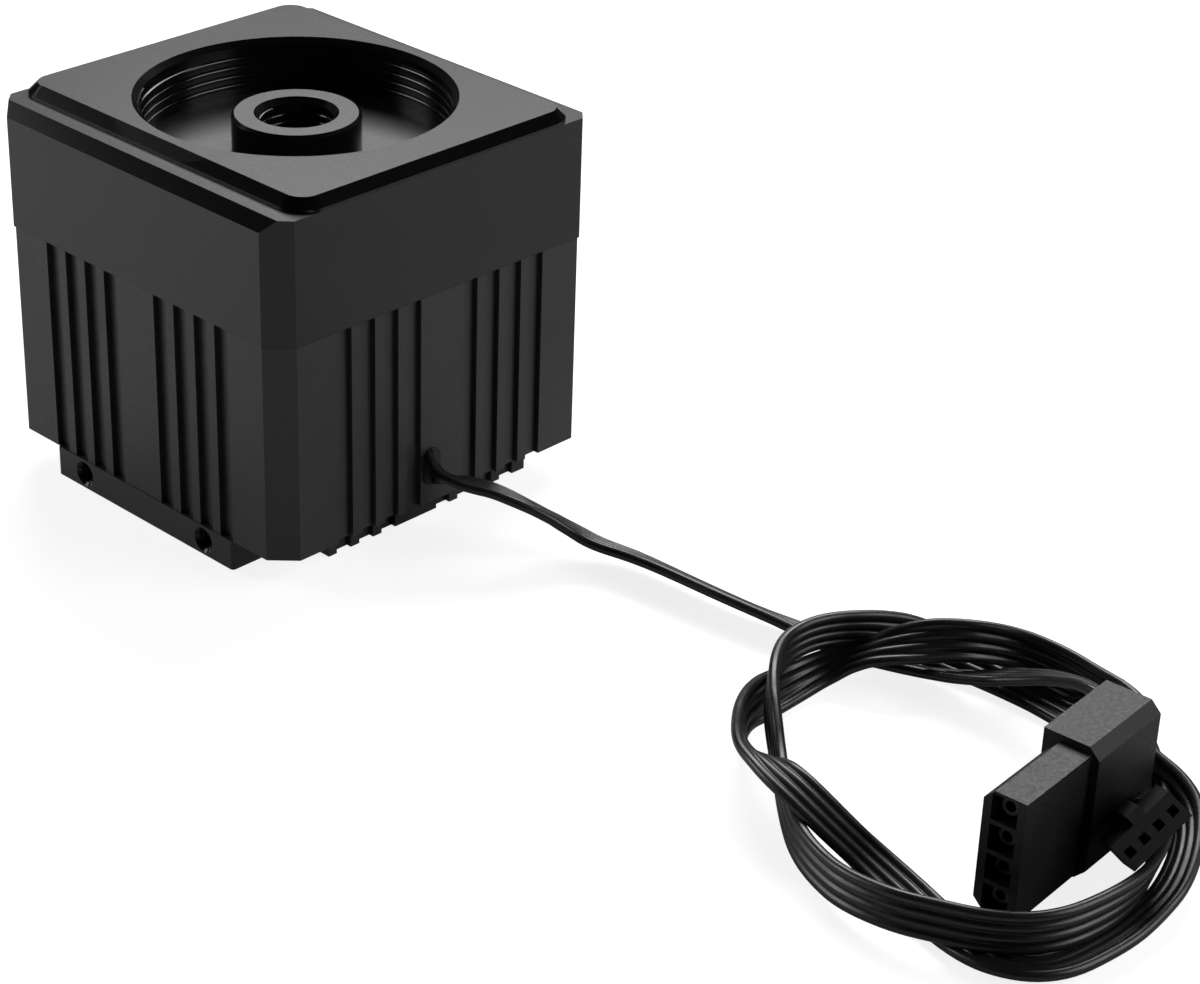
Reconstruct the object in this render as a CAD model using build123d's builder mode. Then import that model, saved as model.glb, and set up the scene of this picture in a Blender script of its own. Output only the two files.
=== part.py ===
from build123d import *
from math import cos, pi, radians, sin, tan
import os

os.makedirs("parts", exist_ok=True)

# Liquid cooling pump in a grooved aluminium shell, with a reservoir seat in its cover.
# Millimetres. The floor is Z = 0, the impeller's axis is the Z axis, the lead leaves on +X
# and the mounting rail is on -Y.

# Cover block
cover_size = 66.0
cover_height = 20.0
corner_cut = 3.6
ledge_edge_cut = 1.9
plateau_height = 2.0
ledge_width = 4.7
plateau_corner = 4.5
plateau_edge_cut = 1.5

# Reservoir seat and inlet boss in the cover
seat_land = 4.1
seat_mouth_cut = 0.9
seat_depth = 9.0
boss_radius = 10.1
boss_edge_cut = 0.5
boss_drop = 3.0

# Ports, drilled for a 13.16 mm thread on an 11.44 mm bore
port_radius = 5.72
port_mouth_cut = 0.88
inlet_depth = 9.5
inlet_eye_radius = 4.4
outlet_depth = 8.6
outlet_x = 11.0
outlet_above_shell = 8.6
passage_radius = 2.9
passage_x = 12.6
passage_above_shell = 6.4

# Shell
shell_inset = 0.2
shell_height = 35.6
shell_wall = 3.8
shell_floor = 3.0
shell_corner_column = 10.0
groove_pitch = 4.7
groove_width = 2.9
groove_depth = 0.9
groove_first = 5.9
groove_count = 4
fit_gap = 0.15

# Base plate and mounting rail
base_height = 6.0
base_side_step = 6.0
base_front_step = 14.6
base_back_step = 8.8
rail_height = 5.0
rail_depth = 14.0
rail_end_edge = 0.6
bracket_hole_spacing = 29.2
bracket_hole_radius = 1.65
bracket_hole_depth = 10.0
bracket_hole_mouth = 0.45
bracket_hole_above_rail_foot = 2.5

# Screws
cover_screw_inset = 6.4
cover_screw_radius = 1.5
cover_screw_head = 2.8
cover_screw_bite = 9.0
cover_screw_end_gap = 1.0
cover_screw_drop = 0.2
cover_socket_depth = 1.4
foot_screw_radius = 1.25
foot_screw_head = 2.3
foot_screw_bite = 2.2
foot_screw_drop = 0.3
foot_socket_depth = 1.1
base_screw_side = 7.0
base_screw_inset = 5.2
rail_screw_x = 6.0
rail_screw_inset = 7.0
screw_clearance = 0.1

# Pump chamber, seal and motor plate
chamber_radius = 18.0
chamber_height = 7.2
seal_radius = 21.4
seal_section = 1.8
seal_groove_side = 0.15
seal_edge = 0.5
plate_thickness = 4.0
can_outer_radius = 13.0
can_wall = 0.8
can_flange_radius = 17.0
can_flange = 1.2
can_bottom_above_floor = 9.5
can_seat = 2.0

# Turning group
shaft_radius = 1.5
shaft_top_in_chamber = 4.6
bearing_gap = 0.05
bush_radius = 3.0
yoke_radius = 6.5
magnet_gap = 0.8
washer_thickness = 0.3
running_gap = 0.2
magnet_head_room = 4.9
impeller_radius = 15.5
impeller_disc = 1.2
impeller_rise = 0.6
blade_height = 3.6
blade_thickness = 1.1
blade_count = 6
blade_sweep = 38.0
blade_tip_inset = 0.4
impeller_eye = 4.6

# Stator
stator_side_gap = 5.0
stator_yoke = 3.5
stator_head_room = 4.1
stator_above_can_foot = 3.0
tooth_width = 5.0
tooth_count = 6
tooth_gap = 0.4
coil_thickness = 1.6
coil_overhang = 1.8
insulator_thickness = 1.0
insulator_post = 3.0

# Control board
pad_thickness = 1.0
pad_side_gap = 6.0
board_thickness = 1.6
board_side_gap = 3.0
board_corner = 9.0
chip_size = 5.0
chip_height = 1.2
capacitor_radius = 2.5
capacitor_height = 3.4
capacitor_edge = 0.3
header_height = 3.6
header_width = 7.0

# Lead: a flat ribbon, held in a moulded insert in the shell's right wall
lead_radius = 1.55
lead_y = -2.2
lead_above_shell_foot = 6.3
gland_height = 6.4
gland_width = 3.4
gland_stand = 0.3
gland_lip = 1.2
coil_foot = 0.3
coil_height = 6.8
coil_hole_centre = (140.0, -1.5)
coil_hole_half = (28.0, 24.5)
coil_edge = 1.3
tail_radius = 0.9

# Power connector, standing on edge inside the coil
power_at = (154.6, -3.6)
power_yaw = 4.0
power_pitch = 4.6
power_body_length = 15.5
power_body_thickness = 6.4
power_body_height = 18.6
power_collar_length = 15.5
power_collar_thickness = 8.6
power_collar_height = 20.6
power_corner_cut = 1.6
power_cell = 3.9
power_cell_depth = 9.0
power_contact_radius = 1.3
power_contact_bore = 0.8

# Signal connector, leaning on the coil with its sockets towards the near side
fan_face = (167.6, -2.8, 12.3)
fan_row = (0.272, 0.722, 0.631)
fan_out = (0.595, -0.645, 0.480)
fan_pitch = 2.54
fan_row_length = 10.4
fan_thickness = 4.4
fan_depth = 9.0
fan_key_width = 2.2
fan_key_height = 1.4
fan_hole = 1.3
fan_hole_depth = 6.0

# Heights that follow from the sizes above
shell_foot = base_height
shell_top = shell_foot + shell_height
ledge_top = shell_top + cover_height
plateau_top = ledge_top + plateau_height
seat_floor = plateau_top - seat_depth
plateau_depth = cover_size - 2 * ledge_width
seat_radius = plateau_depth / 2 - seat_land
boss_top = plateau_top - boss_drop
chamber_top = shell_top + chamber_height
outlet_z = shell_top + outlet_above_shell
rail_foot = base_height - rail_height
shell_size = cover_size - 2 * shell_inset
shell_half = shell_size / 2
cover_half = cover_size / 2
cavity_size = shell_size - 2 * shell_wall
cavity_half = cavity_size / 2
cavity_floor = shell_foot + shell_floor
cover_screw_at = cover_half - cover_screw_inset
base_half_width = cover_half - base_side_step
base_front = -cover_half + base_front_step
base_back = cover_half - base_back_step
base_screw_x = base_half_width - base_screw_side
rail_screw_y = -cover_half + rail_screw_inset
groove_last = groove_first + (groove_count - 1) * groove_pitch
groove_reach = groove_last + groove_width / 2
groove_places = [s * (groove_first + i * groove_pitch) for s in (-1, 1) for i in range(groove_count)]
plate_foot = shell_top - plate_thickness
can_foot = cavity_floor + can_bottom_above_floor
can_inner_radius = can_outer_radius - can_wall
seat_top = can_foot + can_seat
shaft_top = shell_top + shaft_top_in_chamber
bush_foot = seat_top + washer_thickness + running_gap
magnet_foot = bush_foot + running_gap
magnet_top = shell_top - magnet_head_room
magnet_height = magnet_top - magnet_foot
magnet_radius = can_inner_radius - magnet_gap
disc_foot = shell_top + impeller_rise
disc_top = disc_foot + impeller_disc
shroud_foot = disc_top + blade_height
stator_foot = can_foot + stator_above_can_foot
stator_top = plate_foot - stator_head_room
stator_height = stator_top - stator_foot
stator_radius = cavity_half - stator_side_gap
tooth_inner = can_outer_radius + tooth_gap
stator_inner = stator_radius - stator_yoke
board_size = cavity_size - 2 * board_side_gap
pad_size = cavity_size - 2 * pad_side_gap
pad_top = cavity_floor + pad_thickness
board_top = pad_top + board_thickness
lead_z = shell_foot + lead_above_shell_foot
gland_face = shell_half + gland_stand
base_screw_places = [(s * base_screw_x, y) for s in (-1, 1)
                     for y in (base_front + base_screw_inset, base_back - base_screw_inset)]


def export(node, name):
    """Name a finished solid and write it as its own file."""
    node.label = name
    export_step(node, "parts/" + name + ".step")


def corner_places(x, y):
    """The four places at plus and minus x and y."""
    return [(sx * x, sy * y) for sx in (-1, 1) for sy in (-1, 1)]


# Cover: a block with four cut corners, a raised plateau across its full width, the reservoir
# seat with the inlet boss in its middle, and the pump chamber underneath
with BuildPart() as pump_cover:
    with BuildSketch(Plane.XY.offset(shell_top)):
        block = Rectangle(cover_size, cover_size)
        chamfer(block.vertices(), corner_cut)
    extrude(amount=cover_height)
    ledge_edges = pump_cover.faces().sort_by(Axis.Z)[-1].edges().filter_by(Axis.X)
    chamfer(ledge_edges, ledge_edge_cut)
    with BuildSketch(Plane.XY.offset(ledge_top)):
        RectangleRounded(cover_size, plateau_depth, plateau_corner)
    extrude(amount=plateau_height)
    chamfer(pump_cover.faces().sort_by(Axis.Z)[-1].edges(), plateau_edge_cut)
    with BuildSketch(Plane.XY.offset(seat_floor)):
        Circle(seat_radius)
        Circle(boss_radius, mode=Mode.SUBTRACT)
    extrude(amount=seat_depth, mode=Mode.SUBTRACT)
    with BuildSketch(Plane.XY.offset(boss_top)):
        Circle(boss_radius)
    extrude(amount=boss_drop, mode=Mode.SUBTRACT)
    mouth_edge = pump_cover.edges().filter_by(GeomType.CIRCLE).filter_by(
        lambda e: abs(e.radius - seat_radius) < 0.01 and abs(e.center().Z - plateau_top) < 0.01)
    chamfer(mouth_edge, seat_mouth_cut)
    boss_edge = pump_cover.edges().filter_by(GeomType.CIRCLE).filter_by(
        lambda e: abs(e.radius - boss_radius) < 0.01 and abs(e.center().Z - boss_top) < 0.01)
    chamfer(boss_edge, boss_edge_cut)
    with BuildSketch(Plane.XY.offset(shell_top)):
        Circle(chamber_radius)
    extrude(amount=chamber_height, mode=Mode.SUBTRACT)
    with BuildSketch(Plane.XY.offset(boss_top)):
        Circle(port_radius)
    extrude(amount=-inlet_depth, mode=Mode.SUBTRACT)
    with BuildSketch(Plane.XY.offset(boss_top)):
        Circle(inlet_eye_radius)
    extrude(amount=chamber_top - boss_top, mode=Mode.SUBTRACT)
    outlet_plane = Plane(origin=(outlet_x, cover_half, outlet_z), x_dir=(-1, 0, 0), z_dir=(0, 1, 0))
    with BuildSketch(outlet_plane):
        Circle(port_radius)
    extrude(amount=-outlet_depth, mode=Mode.SUBTRACT)
    port_edges = pump_cover.edges().filter_by(GeomType.CIRCLE).filter_by(
        lambda e: abs(e.radius - port_radius) < 0.01
        and (abs(e.center().Z - boss_top) < 0.01 or abs(e.center().Y - cover_half) < 0.01))
    chamfer(port_edges, port_mouth_cut)
    passage_plane = Plane(origin=(passage_x, cover_half - outlet_depth, shell_top + passage_above_shell),
                          x_dir=(-1, 0, 0), z_dir=(0, -1, 0))
    with BuildSketch(passage_plane):
        Circle(passage_radius)
    extrude(amount=cover_half - outlet_depth, mode=Mode.SUBTRACT)
    with BuildSketch(Plane.XY.offset(shell_top)):
        Circle(seal_radius + seal_section / 2 + seal_groove_side)
        Circle(seal_radius - seal_section / 2 - seal_groove_side, mode=Mode.SUBTRACT)
    extrude(amount=seal_section, mode=Mode.SUBTRACT)
    with BuildSketch(Plane.XY.offset(shell_top)):
        with GridLocations(2 * cover_screw_at, 2 * cover_screw_at, 2, 2):
            Circle(cover_screw_radius)
    extrude(amount=cover_screw_bite, mode=Mode.SUBTRACT)

export(pump_cover.part, "pump_cover")

# Shell: a floored box with grooved faces and a slot for the lead
with BuildPart() as finned_shell:
    with BuildSketch(Plane.XY.offset(shell_foot)):
        outline = Rectangle(shell_size, shell_size)
        chamfer(outline.vertices(), corner_cut)
        with Locations(*[(x, s * shell_half) for x in groove_places for s in (-1, 1)]):
            Rectangle(groove_width, 2 * groove_depth, mode=Mode.SUBTRACT)
        with Locations(*[(s * shell_half, y) for y in groove_places for s in (-1, 1)]):
            Rectangle(2 * groove_depth, groove_width, mode=Mode.SUBTRACT)
    extrude(amount=shell_height)
    with BuildSketch(Plane.XY.offset(cavity_floor)):
        room = Rectangle(cavity_size, cavity_size)
        chamfer(room.vertices(), shell_corner_column)
    extrude(amount=shell_height - shell_floor, mode=Mode.SUBTRACT)
    with BuildSketch(Plane.YZ.offset(cavity_half - 1.0)):
        with Locations((lead_y, lead_z)):
            SlotOverall(gland_height, gland_width, rotation=90)
    extrude(amount=shell_wall + 2.0, mode=Mode.SUBTRACT)
    with BuildSketch(Plane.XY.offset(shell_foot)):
        with GridLocations(2 * cover_screw_at, 2 * cover_screw_at, 2, 2):
            Circle(cover_screw_radius + screw_clearance)
    extrude(amount=shell_height, mode=Mode.SUBTRACT)
    with BuildSketch(Plane.XY.offset(shell_foot)):
        with GridLocations(2 * cover_screw_at, 2 * cover_screw_at, 2, 2):
            Circle(cover_screw_head + screw_clearance)
    extrude(amount=shell_floor, mode=Mode.SUBTRACT)
    with BuildSketch(Plane.XY.offset(shell_foot)):
        with Locations(*base_screw_places):
            Circle(foot_screw_radius)
        with Locations((-rail_screw_x, rail_screw_y), (rail_screw_x, rail_screw_y)):
            Circle(foot_screw_radius)
    extrude(amount=foot_screw_bite, mode=Mode.SUBTRACT)

export(finned_shell.part, "finned_shell")

# Base plate: its side edges carry the same notches as the shell's faces
with BuildPart() as base_plate:
    with BuildSketch():
        with Locations((0, (base_front + base_back) / 2)):
            Rectangle(2 * base_half_width, base_back - base_front)
        with Locations(*[(s * base_half_width, y) for y in groove_places for s in (-1, 1)]):
            Rectangle(2 * groove_depth, groove_width, mode=Mode.SUBTRACT)
    extrude(amount=base_height)
    with Locations(*base_screw_places):
        Cylinder(foot_screw_radius + screw_clearance, base_height,
                 align=(Align.CENTER, Align.CENTER, Align.MIN), mode=Mode.SUBTRACT)
        Cylinder(foot_screw_head + screw_clearance, foot_screw_head,
                 align=(Align.CENTER, Align.CENTER, Align.MIN), mode=Mode.SUBTRACT)

export(base_plate.part, "base_plate")

# Mounting rail: flush with the shell's front face, as long as the run of grooves
rail_centre_y = -cover_half + rail_depth / 2
with BuildPart() as mounting_rail:
    with BuildSketch(Plane.XY.offset(rail_foot)):
        with Locations((0, rail_centre_y)):
            Rectangle(2 * groove_reach, rail_depth)
    extrude(amount=rail_height)
    rail_ends = mounting_rail.edges().filter_by(Axis.Z).group_by(Axis.Y)[0]
    fillet(rail_ends, rail_end_edge)
    rail_plane = Plane(origin=(0, -cover_half, rail_foot + bracket_hole_above_rail_foot),
                       x_dir=(1, 0, 0), z_dir=(0, -1, 0))
    with BuildSketch(rail_plane):
        with GridLocations(bracket_hole_spacing, 1, 2, 1):
            Circle(bracket_hole_radius)
    extrude(amount=-bracket_hole_depth, mode=Mode.SUBTRACT)
    bracket_mouths = mounting_rail.edges().filter_by(GeomType.CIRCLE).group_by(Axis.Y)[0]
    chamfer(bracket_mouths, bracket_hole_mouth)
    with Locations((-rail_screw_x, rail_screw_y, rail_foot), (rail_screw_x, rail_screw_y, rail_foot)):
        Cylinder(foot_screw_radius + screw_clearance, rail_height,
                 align=(Align.CENTER, Align.CENTER, Align.MIN), mode=Mode.SUBTRACT)
        Cylinder(foot_screw_head + screw_clearance, foot_screw_head,
                 align=(Align.CENTER, Align.CENTER, Align.MIN), mode=Mode.SUBTRACT)

export(mounting_rail.part, "mounting_rail")

# Screws, with a hexagon socket in each head
with BuildPart() as cover_screws:
    with GridLocations(2 * cover_screw_at, 2 * cover_screw_at, 2, 2):
        with Locations((0, 0, shell_foot + cover_screw_drop)):
            Cylinder(cover_screw_head, shell_floor - cover_screw_drop,
                     align=(Align.CENTER, Align.CENTER, Align.MIN))
            Cylinder(cover_screw_radius, shell_height + cover_screw_bite - cover_screw_end_gap,
                     align=(Align.CENTER, Align.CENTER, Align.MIN))
    with BuildSketch(Plane.XY.offset(shell_foot + cover_screw_drop)):
        with GridLocations(2 * cover_screw_at, 2 * cover_screw_at, 2, 2):
            RegularPolygon(cover_screw_radius, 6)
    extrude(amount=cover_socket_depth, mode=Mode.SUBTRACT)

export(cover_screws.part, "cover_screws")

with BuildPart() as base_screws:
    for x, y in base_screw_places:
        with Locations((x, y, foot_screw_drop)):
            Cylinder(foot_screw_head, foot_screw_head - foot_screw_drop,
                     align=(Align.CENTER, Align.CENTER, Align.MIN))
            Cylinder(foot_screw_radius, base_height + foot_screw_bite - foot_screw_drop,
                     align=(Align.CENTER, Align.CENTER, Align.MIN))
    with BuildSketch(Plane.XY.offset(foot_screw_drop)):
        with Locations(*base_screw_places):
            RegularPolygon(foot_screw_radius, 6)
    extrude(amount=foot_socket_depth, mode=Mode.SUBTRACT)

export(base_screws.part, "base_screws")

with BuildPart() as rail_screws:
    for x in (-rail_screw_x, rail_screw_x):
        with Locations((x, rail_screw_y, rail_foot + foot_screw_drop)):
            Cylinder(foot_screw_head, foot_screw_head - foot_screw_drop,
                     align=(Align.CENTER, Align.CENTER, Align.MIN))
            Cylinder(foot_screw_radius, rail_height + foot_screw_bite - foot_screw_drop,
                     align=(Align.CENTER, Align.CENTER, Align.MIN))
    with BuildSketch(Plane.XY.offset(rail_foot + foot_screw_drop)):
        with Locations((-rail_screw_x, rail_screw_y), (rail_screw_x, rail_screw_y)):
            RegularPolygon(foot_screw_radius, 6)
    extrude(amount=foot_socket_depth, mode=Mode.SUBTRACT)

export(rail_screws.part, "rail_screws")

# Seal between the cover and the motor plate
with BuildPart() as chamber_seal:
    with BuildSketch(Plane.XZ):
        with Locations((seal_radius, shell_top + seal_section / 2)):
            seal_profile = Rectangle(seal_section, seal_section)
            chamfer(seal_profile.vertices(), seal_edge)
    revolve(axis=Axis.Z)

export(chamber_seal.part, "chamber_seal")

# Motor plate: closes the shell's top, with a stepped hole for the separator can
with BuildPart() as motor_plate:
    with BuildSketch(Plane.XY.offset(plate_foot)):
        slab = Rectangle(cavity_size - 2 * fit_gap, cavity_size - 2 * fit_gap)
        chamfer(slab.vertices(), shell_corner_column)
        Circle(can_outer_radius, mode=Mode.SUBTRACT)
    extrude(amount=plate_thickness)
    with BuildSketch(Plane.XY.offset(shell_top)):
        Circle(can_flange_radius)
    extrude(amount=-can_flange, mode=Mode.SUBTRACT)

export(motor_plate.part, "motor_plate")

# Separator can: a flanged cup with a seat for the shaft in its foot
with BuildPart() as separator_can:
    with BuildSketch(Plane.XZ):
        with BuildLine():
            Polyline((shaft_radius, can_foot + can_wall), (0, can_foot + can_wall), (0, can_foot),
                     (can_outer_radius, can_foot), (can_outer_radius, shell_top - can_flange),
                     (can_flange_radius, shell_top - can_flange), (can_flange_radius, shell_top),
                     (can_inner_radius, shell_top), (can_inner_radius, can_foot + can_wall),
                     (bush_radius + 1.0, can_foot + can_wall), (bush_radius + 1.0, seat_top),
                     (shaft_radius, seat_top), close=True)
        make_face()
    revolve(axis=Axis.Z)

export(separator_can.part, "separator_can")

with BuildPart() as pivot_shaft:
    with BuildSketch(Plane.XY.offset(can_foot + can_wall)):
        Circle(shaft_radius)
    extrude(amount=shaft_top - can_foot - can_wall)
    fillet(pivot_shaft.edges().sort_by(Axis.Z)[-1], shaft_radius * 0.4)

export(pivot_shaft.part, "pivot_shaft")

with BuildPart() as thrust_washer:
    with BuildSketch(Plane.XY.offset(seat_top)):
        Circle(bush_radius)
        Circle(shaft_radius + bearing_gap, mode=Mode.SUBTRACT)
    extrude(amount=washer_thickness)

export(thrust_washer.part, "thrust_washer")

# Turning group: bush, yoke, ring magnet and a shrouded impeller with swept blades
with BuildPart() as rotor_bush:
    with BuildSketch(Plane.XY.offset(bush_foot)):
        Circle(bush_radius)
        Circle(shaft_radius + bearing_gap, mode=Mode.SUBTRACT)
    extrude(amount=disc_top - bush_foot)

export(rotor_bush.part, "rotor_bush")

with BuildPart() as rotor_yoke:
    with BuildSketch(Plane.XY.offset(magnet_foot)):
        Circle(yoke_radius)
        Circle(bush_radius, mode=Mode.SUBTRACT)
    extrude(amount=magnet_height)

export(rotor_yoke.part, "rotor_yoke")

with BuildPart() as rotor_magnet:
    with BuildSketch(Plane.XY.offset(magnet_foot)):
        Circle(magnet_radius)
        Circle(yoke_radius, mode=Mode.SUBTRACT)
    extrude(amount=magnet_height)

export(rotor_magnet.part, "rotor_magnet")

blade_root = impeller_eye + blade_thickness / 2 + blade_tip_inset
blade_mid = (blade_root + impeller_radius) / 2
blade_turn = radians(blade_sweep)
blade_tip = impeller_radius - blade_thickness / 2 - blade_tip_inset
with BuildSketch() as blade_outline:
    with BuildLine():
        vane = ThreePointArc((blade_root, 0),
                             (blade_mid * cos(blade_turn * 0.4), -blade_mid * sin(blade_turn * 0.4)),
                             (blade_tip * cos(blade_turn), -blade_tip * sin(blade_turn)))
        offset(vane, amount=blade_thickness / 2, side=Side.BOTH)
    make_face()

with BuildPart() as impeller:
    with BuildSketch(Plane.XY.offset(magnet_top)):
        Circle(yoke_radius)
        Circle(bush_radius, mode=Mode.SUBTRACT)
    extrude(amount=disc_foot - magnet_top)
    with BuildSketch(Plane.XY.offset(disc_foot)):
        Circle(impeller_radius)
        Circle(bush_radius, mode=Mode.SUBTRACT)
    extrude(amount=impeller_disc)
    with BuildSketch(Plane.XY.offset(shroud_foot)):
        Circle(impeller_radius)
        Circle(impeller_eye, mode=Mode.SUBTRACT)
    extrude(amount=impeller_disc)
    with BuildSketch(Plane.XY.offset(disc_top)):
        with PolarLocations(0, blade_count):
            add(blade_outline.sketch)
    extrude(amount=blade_height)

export(impeller.part, "impeller")

# Stator: a six-toothed core, an insulator that stands between it and the motor plate, and coils
with BuildPart() as stator_core:
    with BuildSketch(Plane.XY.offset(stator_foot)):
        Circle(stator_radius)
        Circle(stator_inner, mode=Mode.SUBTRACT)
        with PolarLocations((stator_inner + tooth_inner) / 2, tooth_count):
            Rectangle(stator_inner - tooth_inner + 1.0, tooth_width)
        Circle(tooth_inner, mode=Mode.SUBTRACT)
    extrude(amount=stator_height)

export(stator_core.part, "stator_core")

with BuildPart() as stator_insulator:
    with BuildSketch(Plane.XY.offset(stator_top)):
        Circle(stator_radius)
        Circle(stator_inner, mode=Mode.SUBTRACT)
    extrude(amount=insulator_thickness)
    with BuildSketch(Plane.XY.offset(stator_foot)):
        Circle(stator_radius)
        Circle(stator_inner, mode=Mode.SUBTRACT)
    extrude(amount=-insulator_thickness)
    with BuildSketch(Plane.XY.offset(stator_top)):
        with PolarLocations((stator_radius + stator_inner) / 2, 4, start_angle=45):
            Circle(insulator_post / 2)
    extrude(amount=plate_foot - stator_top)
    with BuildSketch(Plane.XY.offset(stator_foot)):
        with PolarLocations((stator_radius + stator_inner) / 2, 4, start_angle=45):
            Circle(insulator_post / 2)
    extrude(amount=board_top - stator_foot)

export(stator_insulator.part, "stator_insulator")

coil_inner = tooth_inner + 1.0
coil_outer = stator_inner - 1.0
coil_length = coil_outer - coil_inner
with BuildPart() as stator_coils:
    with PolarLocations((coil_inner + coil_outer) / 2, tooth_count):
        with Locations((0, 0, (stator_foot + stator_top) / 2)):
            Box(coil_length, tooth_width + 2 * coil_thickness, stator_height + 2 * coil_overhang)
            Box(coil_length, tooth_width, stator_height, mode=Mode.SUBTRACT)
    fillet(stator_coils.edges().filter_by(lambda e: abs(e.length - coil_length) < 0.01
                                          and abs(abs(e.center().Z - (stator_foot + stator_top) / 2)
                                                  - stator_height / 2 - coil_overhang) < 0.01),
           coil_thickness * 0.6)

export(stator_coils.part, "stator_coils")

# Control board on its pad, with the parts that it carries
with BuildPart() as thermal_pad:
    with BuildSketch(Plane.XY.offset(cavity_floor)):
        Rectangle(pad_size, pad_size)
    extrude(amount=pad_thickness)

export(thermal_pad.part, "thermal_pad")

with BuildPart() as control_board:
    with BuildSketch(Plane.XY.offset(pad_top)):
        board = Rectangle(board_size, board_size)
        chamfer(board.vertices(), board_corner)
    extrude(amount=board_thickness)

export(control_board.part, "control_board")

with BuildPart() as board_chips:
    with BuildSketch(Plane.XY.offset(board_top)):
        with GridLocations(2 * chip_size, 1.6 * chip_size, 3, 2):
            Rectangle(chip_size, chip_size)
    extrude(amount=chip_height)

export(board_chips.part, "board_chips")

with BuildPart() as board_capacitors:
    with BuildSketch(Plane.XY.offset(board_top)):
        with Locations(*corner_places(capacitor_radius + 0.6, stator_inner - capacitor_radius)):
            Circle(capacitor_radius)
    extrude(amount=capacitor_height)
    chamfer(board_capacitors.faces().filter_by(Axis.Z).group_by(Axis.Z)[-1].edges(), capacitor_edge)

export(board_capacitors.part, "board_capacitors")

with BuildPart() as lead_header:
    with BuildSketch(Plane.XY.offset(board_top)):
        with Locations((board_size / 2 - header_height, lead_y)):
            Rectangle(header_height, header_width)
    extrude(amount=header_height)

export(lead_header.part, "lead_header")

# Lead insert in the shell's slot, with a lip inside
with BuildPart() as lead_gland:
    with BuildSketch(Plane.YZ.offset(cavity_half)):
        with Locations((lead_y, lead_z)):
            SlotOverall(gland_height, gland_width, rotation=90)
    extrude(amount=gland_face - cavity_half)
    with BuildSketch(Plane.YZ.offset(cavity_half)):
        with Locations((lead_y, lead_z)):
            RectangleRounded(gland_width + gland_lip, gland_height, gland_width / 2)
    extrude(amount=-gland_lip)

export(lead_gland.part, "lead_gland")

# Straight stretch of the lead, from the insert down to the floor and over to the coil
lead_route = [
    (gland_face, lead_y, lead_z),
    (42.6, lead_y, lead_z),
    (51.5, 6.6, 7.2),
    (61.5, 12.4, 1.9),
    (78.5, 13.6, 1.9),
    (94.2, 16.2, 1.9),
]


def corner_radius(before, corner, after):
    """Radius of the arc at a corner: it takes 0.45 of the shorter run beside it."""
    into = Vector(*corner) - Vector(*before)
    out = Vector(*after) - Vector(*corner)
    turn = radians(into.get_angle(out))
    return 0.45 * min(into.length, out.length) / tan(turn / 2)


def corner_radii(route, name):
    """Arc radii for a whole route, printed beside its name."""
    radii = [corner_radius(*route[i - 1:i + 2]) for i in range(1, len(route) - 1)]
    print(name, "radii", [round(r, 1) for r in radii])
    return radii


lead_radii = corner_radii(lead_route, "lead")
with BuildPart() as lead_tube:
    with BuildLine() as lead_path:
        FilletPolyline(*lead_route, radius=lead_radii)
    with BuildSketch(Plane(origin=lead_route[0], z_dir=lead_path.line % 0)):
        Circle(lead_radius)
    sweep()
lead_length = lead_path.wires()[0].length
print("lead length", round(lead_length, 1),
      "volume over section", round(lead_tube.part.volume / (pi * lead_radius ** 2), 1))

export(lead_tube.part, "lead_tube")

# Coiled stretch of the lead: its outer shape, a flat ring that the turns lie in
coil_outline = [(93.0, 12.0), (97.5, 26.0), (110.0, 35.0), (127.0, 38.0), (148.0, 31.0), (163.0, 18.0),
                (172.0, 2.0), (173.0, -15.0), (168.5, -27.0), (157.0, -32.0), (140.0, -33.0),
                (124.0, -25.0), (107.0, -15.0), (97.0, 0.0)]
with BuildPart() as lead_coil:
    with BuildSketch(Plane.XY.offset(coil_foot)):
        with BuildLine():
            Spline(*coil_outline, periodic=True)
        make_face()
        with Locations(coil_hole_centre):
            Ellipse(*coil_hole_half, mode=Mode.SUBTRACT)
    extrude(amount=coil_height)
    chamfer(lead_coil.faces().sort_by(Axis.Z)[-1].edges(), coil_edge)

export(lead_coil.part, "lead_coil")

# Ends of the lead: out of the coil and into the two connectors
power_tail_route = [
    (153.518, 11.862, 12.0),
    (153.1, 17.85, 12.0),
    (146.5, 22.4, 9.5),
    (139.8, 25.0, 5.2),
]
with BuildPart() as power_tail:
    with BuildLine() as power_tail_path:
        FilletPolyline(*power_tail_route, radius=corner_radii(power_tail_route, "power tail"))
    with BuildSketch(Plane(origin=power_tail_route[0], z_dir=power_tail_path.line % 0)):
        Circle(tail_radius)
    sweep()

export(power_tail.part, "power_tail")

signal_tail_route = [
    (162.245, 3.005, 7.98),
    (159.865, 5.585, 6.06),
    (160.2, 12.0, 4.2),
    (157.0, 17.5, 3.0),
]
with BuildPart() as signal_tail:
    with BuildLine() as signal_tail_path:
        FilletPolyline(*signal_tail_route, radius=corner_radii(signal_tail_route, "signal tail"))
    with BuildSketch(Plane(origin=signal_tail_route[0], z_dir=signal_tail_path.line % 0)):
        Circle(tail_radius)
    sweep()

export(signal_tail.part, "signal_tail")

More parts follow.
